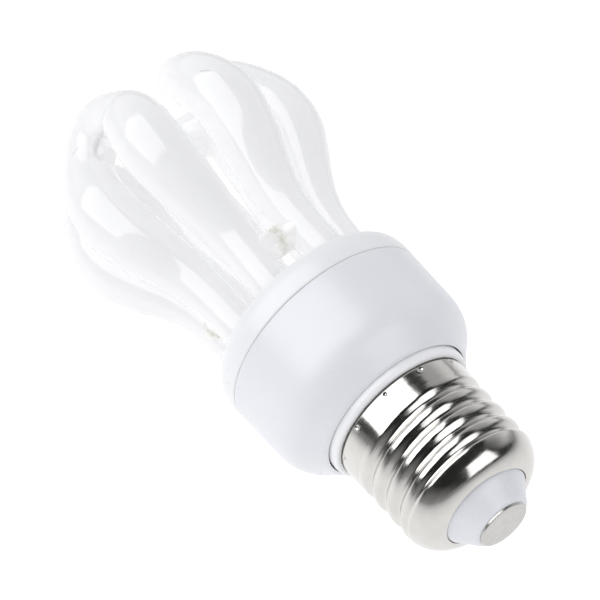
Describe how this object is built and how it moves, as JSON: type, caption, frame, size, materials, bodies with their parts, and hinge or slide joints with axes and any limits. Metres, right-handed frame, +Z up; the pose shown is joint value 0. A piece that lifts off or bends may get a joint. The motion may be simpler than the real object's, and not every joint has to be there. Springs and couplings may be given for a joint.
{
  "type": "compact fluorescent lamp",
  "caption": "Compact fluorescent lamp: petal-shaped folded glass tubes on a white plastic ballast housing with an E27 screw cap, lying on its side.",
  "frame": {"origin": "on the surface the lamp lies on, under the middle of its bounding box", "axes": "+X from the glass crown towards the screw cap, along the longest extent; +Z up; the lamp axis leans 4.56 degrees in the XZ plane, crown end higher"},
  "size_m": [0.1054, 0.0482, 0.0478],
  "materials": {
    "glass_tube": "clear glass wall over a white phosphor coat",
    "white_plastic": "satin moulded plastic, cool white",
    "silicone": "cured white silicone",
    "nickel_plate": "polished nickel plate on thin sheet",
    "contact_metal": "plain plated contact, slightly satin",
    "cap_insulator": "pale grey moulded insulator",
    "board": "phenolic paper board",
    "black_sleeve": "shrink sleeve",
    "ferrite": "dark sintered ferrite",
    "bobbin": "moulded black",
    "copper": "enamelled copper wire",
    "black_epoxy": "moulded epoxy",
    "film_epoxy": "dipped epoxy",
    "resistor_coat": "lacquered film resistor",
    "diac_glass": "glass diode",
    "fuse_coat": "flameproof lacquer",
    "wire_black": "insulated wire",
    "wire_white": "insulated wire",
    "tinned_wire": "tinned wire"
  },
  "bodies": {
    "root": {"discharge_tube": "glass_tube", "tube_holder": "white_plastic", "lower_housing": "white_plastic", "cap_neck": "white_plastic", "tube_cement": "silicone", "screw_shell": "nickel_plate", "centre_contact": "contact_metal", "cap_insulator": "cap_insulator", "circuit_board": "board", "bulk_capacitor": "black_sleeve", "choke_core": "ferrite", "choke_bobbin": "bobbin", "choke_winding": "copper", "drive_toroid": "ferrite", "toroid_windings": "copper", "switching_transistors": "black_epoxy", "film_capacitors": "film_epoxy", "rectifier_diodes": "black_epoxy", "resistors": "resistor_coat", "trigger_diac": "diac_glass", "fuse_resistor": "fuse_coat", "live_wire": "wire_black", "neutral_wire": "wire_white", "wrap_pins": "tinned_wire", "filament_leads": "tinned_wire"}
  },
  "joints": []
}
